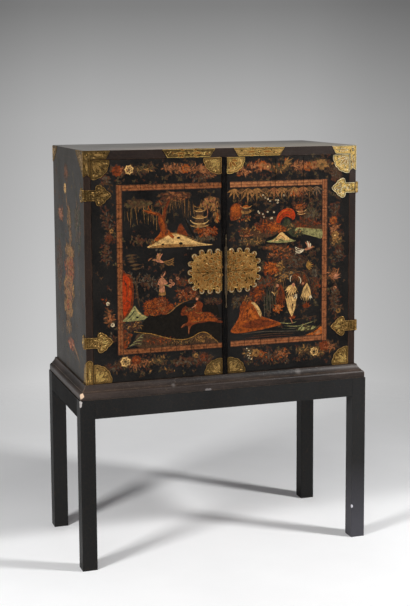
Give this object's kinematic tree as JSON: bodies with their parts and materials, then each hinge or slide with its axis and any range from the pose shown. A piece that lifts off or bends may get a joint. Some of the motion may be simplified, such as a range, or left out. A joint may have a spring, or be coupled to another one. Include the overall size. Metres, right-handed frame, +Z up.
{
  "type": "cabinet on stand",
  "caption": "Two-door lacquered cabinet with brass strap hinges, lock plates and corner mounts, on a plain square-legged stand.",
  "frame": {"origin": "on the floor under the middle of the stand's footprint", "axes": "+Z up, doors face -Y, +X to the viewer's right when facing the doors"},
  "size_m": [1.02, 0.502, 1.385],
  "materials": {
    "stand_lacquer": "satin black lacquer over wood, worn at the edges",
    "moulding_lacquer": "worn brown-black lacquer",
    "side_lacquer": "faded black lacquer with worn gold and red flowering branches",
    "top_lacquer": "dusty black-brown lacquer",
    "door_lacquer": "black lacquer with a red-gold frame line and raised landscape decoration",
    "bead_lacquer": "glossy black lacquer",
    "inner_wood": "dull red-brown stained wood",
    "bare_wood": "unfinished wood",
    "engraved_brass": "old engraved brass with dark recesses",
    "lock_iron": "dark wrought iron"
  },
  "bodies": {
    "cabinet": {"band_mounts": "engraved_brass", "base_rail": "inner_wood", "bearers": "bare_wood", "case_back": "inner_wood", "case_floor": "inner_wood", "case_side_left": "side_lacquer", "case_side_right": "side_lacquer", "case_top": "top_lacquer", "corner_mount_back_left": "engraved_brass", "corner_mount_back_right": "engraved_brass", "corner_mount_foot_left": "engraved_brass", "corner_mount_front_left": "engraved_brass", "corner_mount_front_right": "engraved_brass", "door_stop": "inner_wood", "hinge_leaf_bottom_left": "engraved_brass", "hinge_leaf_bottom_right": "engraved_brass", "hinge_leaf_top_left": "engraved_brass", "hinge_leaf_top_right": "engraved_brass", "hinge_pins": "engraved_brass", "leg_back_left": "stand_lacquer", "leg_back_right": "stand_lacquer", "leg_front_left": "stand_lacquer", "leg_front_right": "stand_lacquer", "moulding_front": "moulding_lacquer", "moulding_left": "moulding_lacquer", "moulding_right": "moulding_lacquer", "nails_case": "engraved_brass", "rail_back": "stand_lacquer", "rail_front": "stand_lacquer", "rail_left": "stand_lacquer", "rail_right": "stand_lacquer", "shelf_1": "inner_wood", "shelf_2": "inner_wood", "shelf_battens": "inner_wood"},
    "left_door": {"bolt_guides": "lock_iron", "door_left": "door_lacquer", "escutcheon_left": "engraved_brass", "hinge_strap_bottom_left": "engraved_brass", "hinge_strap_top_left": "engraved_brass", "lock_keeper": "lock_iron", "mount_left_bottom_inner": "engraved_brass", "mount_left_bottom_outer": "engraved_brass", "mount_left_top_inner": "engraved_brass", "mount_left_top_outer": "engraved_brass", "nails_door_left": "engraved_brass"},
    "right_door": {"closing_strip": "engraved_brass", "door_right": "door_lacquer", "escutcheon_right": "engraved_brass", "hinge_strap_bottom_right": "engraved_brass", "hinge_strap_top_right": "engraved_brass", "lock_case": "lock_iron", "meeting_bead": "bead_lacquer", "mount_right_bottom_inner": "engraved_brass", "mount_right_bottom_outer": "engraved_brass", "mount_right_top_inner": "engraved_brass", "mount_right_top_outer": "engraved_brass", "nails_door_right": "engraved_brass"},
    "lock_bolt": {"lock_bolt": "lock_iron"},
    "slide_bolt_bottom": {"slide_bolt_bottom": "lock_iron"},
    "slide_bolt_top": {"slide_bolt_top": "lock_iron"}
  },
  "joints": [
    {"name": "left_door_hinge", "type": "hinge", "parent": "cabinet", "child": "left_door", "pos_m": [-0.483, -0.224, 0.98725], "axis": [0, 0, -1], "range_deg": [0, 265]},
    {"name": "right_door_hinge", "type": "hinge", "parent": "cabinet", "child": "right_door", "pos_m": [0.483, -0.224, 0.98725], "axis": [0, 0, 1], "range_deg": [0, 265]},
    {"name": "lock_bolt_slide", "type": "slide", "parent": "right_door", "child": "lock_bolt", "axis": [-1, 0, 0], "range_m": [0, 0.024]},
    {"name": "top_bolt_slide", "type": "slide", "parent": "left_door", "child": "slide_bolt_top", "axis": [0, 0, 1], "range_m": [0, 0.013]},
    {"name": "bottom_bolt_slide", "type": "slide", "parent": "left_door", "child": "slide_bolt_bottom", "axis": [0, 0, -1], "range_m": [0, 0.013]}
  ]
}
